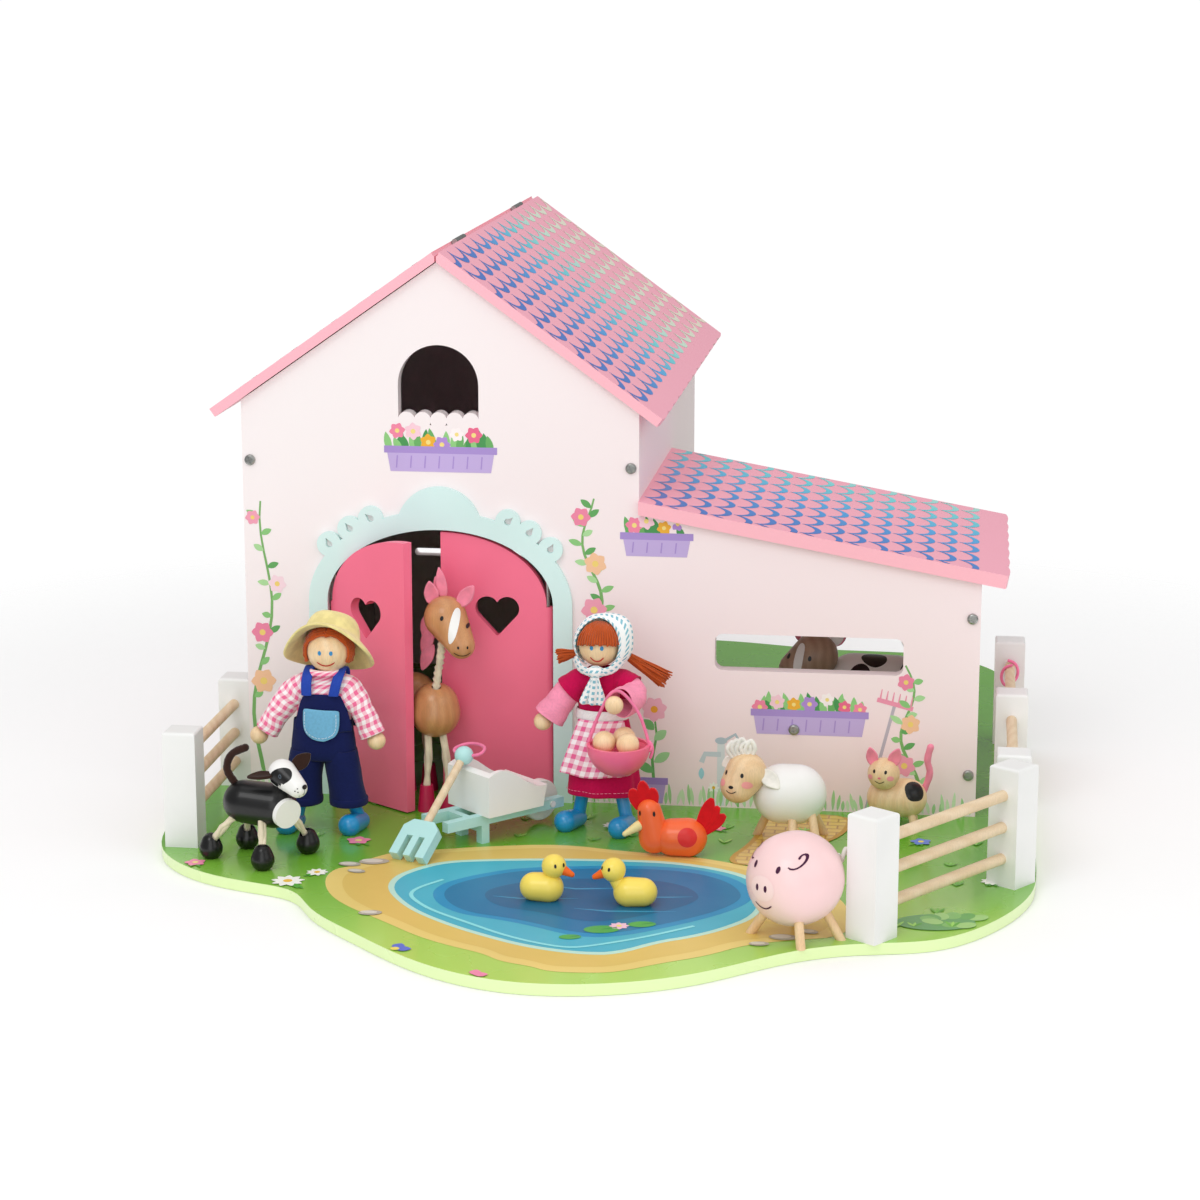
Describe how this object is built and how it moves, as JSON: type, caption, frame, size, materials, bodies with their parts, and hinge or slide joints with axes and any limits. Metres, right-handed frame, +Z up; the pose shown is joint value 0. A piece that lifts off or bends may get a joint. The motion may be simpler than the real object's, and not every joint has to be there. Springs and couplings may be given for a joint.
{
  "type": "wooden toy farm",
  "caption": "Wooden toy farm: gabled barn with arched doors, loft and lifting roof board, open-backed lean-to, fences, dolls, animals, basket, barrow and fork on a wavy meadow board.",
  "frame": {"origin": "middle of the meadow board's flat underside", "axes": "+Z up; the doors and the front wall face -Y; the lean-to is on the +X side of the barn"},
  "size_m": [0.4764, 0.6939, 0.3193],
  "materials": {
    "meadow_print": "varnished print on board",
    "wall_print": "pale pink print on board",
    "roof_print": "pink print on board with blue and mint arcs",
    "trim_paint": "satin aqua paint",
    "door_paint": "satin pink paint",
    "natural_wood": "bare sanded wood",
    "white_paint": "thin white paint",
    "mint_paint": "satin mint paint",
    "hinge_steel": "plated steel",
    "screw_steel": "zinc plated steel",
    "halter_cord": "woven cord",
    "handle_cord": "thin pink cord",
    "basket_paint": "gloss pink paint",
    "warm_wood": "lacquered wood",
    "cream_cord": "braided cotton cord",
    "crimson_paint": "gloss crimson paint",
    "pink_felt": "wool felt",
    "cow_paint": "white paint with dark spots",
    "cream_felt": "wool felt",
    "pig_paint": "satin pale pink paint",
    "black_paint": "gloss black paint",
    "brown_felt": "wool felt",
    "orange_paint": "satin orange paint",
    "red_felt": "wool felt",
    "yellow_paint": "gloss yellow paint",
    "skin_wood": "lacquered light wood",
    "navy_cloth": "woven cotton",
    "straw_felt": "pressed felt",
    "blue_paint": "gloss blue paint",
    "magenta_cloth": "woven cotton",
    "scarf_cloth": "printed cotton"
  },
  "bodies": {
    "farm": {"base_board": "meadow_print", "front_wall": "wall_print", "barn_left_wall": "wall_print", "barn_right_wall": "wall_print", "barn_back_wall": "wall_print", "lean_to_end_wall": "wall_print", "loft_floor": "wall_print", "lean_to_stay": "natural_wood", "right_roof_panel": "roof_print", "lean_to_roof": "roof_print", "door_arch_trim": "trim_paint", "ridge_hinge_fixed": "hinge_steel", "door_pins": "screw_steel", "screws": "screw_steel", "fence_posts": "white_paint", "fence_rails": "natural_wood", "halter": "halter_cord"},
    "lifting_roof": {"left_roof_panel": "roof_print", "ridge_hinge_moving": "hinge_steel"},
    "left_door_leaf": {"left_door": "door_paint"},
    "right_door_leaf": {"right_door": "door_paint"},
    "barrow": {"barrow_tray": "white_paint", "barrow_frame": "mint_paint"},
    "barrow_wheel_and_axle": {"barrow_wheel": "mint_paint"},
    "fork": {"fork_head": "mint_paint", "fork_shaft": "natural_wood", "fork_cord": "handle_cord"},
    "horse": {"horse_body": "warm_wood", "horse_head": "warm_wood", "horse_cords": "cream_cord", "horse_hooves": "crimson_paint", "horse_felt": "pink_felt"},
    "cow": {"cow_body": "cow_paint", "cow_legs": "natural_wood"},
    "sheep": {"sheep_body": "white_paint", "sheep_head_and_legs": "natural_wood", "sheep_felt": "cream_felt"},
    "pig": {"pig_body": "pig_paint", "pig_legs": "natural_wood"},
    "cat": {"cat_wood": "natural_wood", "cat_felt": "pink_felt"},
    "dog": {"dog_body": "black_paint", "dog_head": "white_paint", "dog_cords": "cream_cord", "dog_felt": "brown_felt"},
    "hen": {"hen_body": "orange_paint", "hen_felt": "red_felt"},
    "left_duck": {"duck_left": "yellow_paint"},
    "right_duck": {"duck_right": "yellow_paint"},
    "farmer": {"farmer_wood": "skin_wood", "farmer_clothes": "navy_cloth", "farmer_hat": "straw_felt", "farmer_boots": "blue_paint"},
    "girl": {"girl_wood": "skin_wood", "girl_dress": "magenta_cloth", "girl_scarf": "scarf_cloth", "girl_boots": "blue_paint", "basket_bowl": "basket_paint", "basket_cord": "handle_cord"},
    "eggs": {"basket_eggs": "natural_wood"}
  },
  "joints": [
    {"name": "roof_lift", "type": "hinge", "parent": "farm", "child": "lifting_roof", "pos_m": [-0.0975, 0.125, 0.31771], "axis": [0, 1, 0], "range_deg": [0, 165]},
    {"name": "left_door_swing", "type": "hinge", "parent": "farm", "child": "left_door_leaf", "pos_m": [-0.1582, -0.0505, 0.06], "axis": [0, 0, 1], "range_deg": [-18, 0]},
    {"name": "right_door_swing", "type": "hinge", "parent": "farm", "child": "right_door_leaf", "pos_m": [-0.0368, -0.0505, 0.06], "axis": [0, 0, -1], "range_deg": [0, 45]},
    {"name": "barrow_lift", "type": "slide", "parent": "farm", "child": "barrow", "axis": [0, 0, 1], "range_m": [0, 0.03]},
    {"name": "wheel_spin", "type": "hinge", "parent": "barrow", "child": "barrow_wheel_and_axle", "pos_m": [-0.03562, -0.09359, 0.01925], "axis": [-0.7314, 0.682, 0], "continuous": true},
    {"name": "fork_lift", "type": "slide", "parent": "barrow", "child": "fork", "axis": [0, 0, 1], "range_m": [0, 0.05]},
    {"name": "horse_lift", "type": "slide", "parent": "farm", "child": "horse", "axis": [0, 0, 1], "range_m": [0, 0.05]},
    {"name": "cow_slide", "type": "slide", "parent": "farm", "child": "cow", "axis": [0, 1, 0], "range_m": [0, 0.14]},
    {"name": "sheep_lift", "type": "slide", "parent": "farm", "child": "sheep", "axis": [0, 0, 1], "range_m": [0, 0.06]},
    {"name": "pig_lift", "type": "slide", "parent": "farm", "child": "pig", "axis": [0, 0, 1], "range_m": [0, 0.06]},
    {"name": "cat_lift", "type": "slide", "parent": "farm", "child": "cat", "axis": [0, 0, 1], "range_m": [0, 0.06]},
    {"name": "dog_lift", "type": "slide", "parent": "farm", "child": "dog", "axis": [0, 0, 1], "range_m": [0, 0.06]},
    {"name": "hen_lift", "type": "slide", "parent": "farm", "child": "hen", "axis": [0, 0, 1], "range_m": [0, 0.06]},
    {"name": "left_duck_lift", "type": "slide", "parent": "farm", "child": "left_duck", "axis": [0, 0, 1], "range_m": [0, 0.06]},
    {"name": "right_duck_lift", "type": "slide", "parent": "farm", "child": "right_duck", "axis": [0, 0, 1], "range_m": [0, 0.06]},
    {"name": "farmer_lift", "type": "slide", "parent": "farm", "child": "farmer", "axis": [0, 0, 1], "range_m": [0, 0.08]},
    {"name": "girl_lift", "type": "slide", "parent": "farm", "child": "girl", "axis": [0, 0, 1], "range_m": [0, 0.06]},
    {"name": "eggs_out", "type": "slide", "parent": "girl", "child": "eggs", "axis": [0, -0.8, 0.6], "range_m": [0, 0.04]}
  ]
}
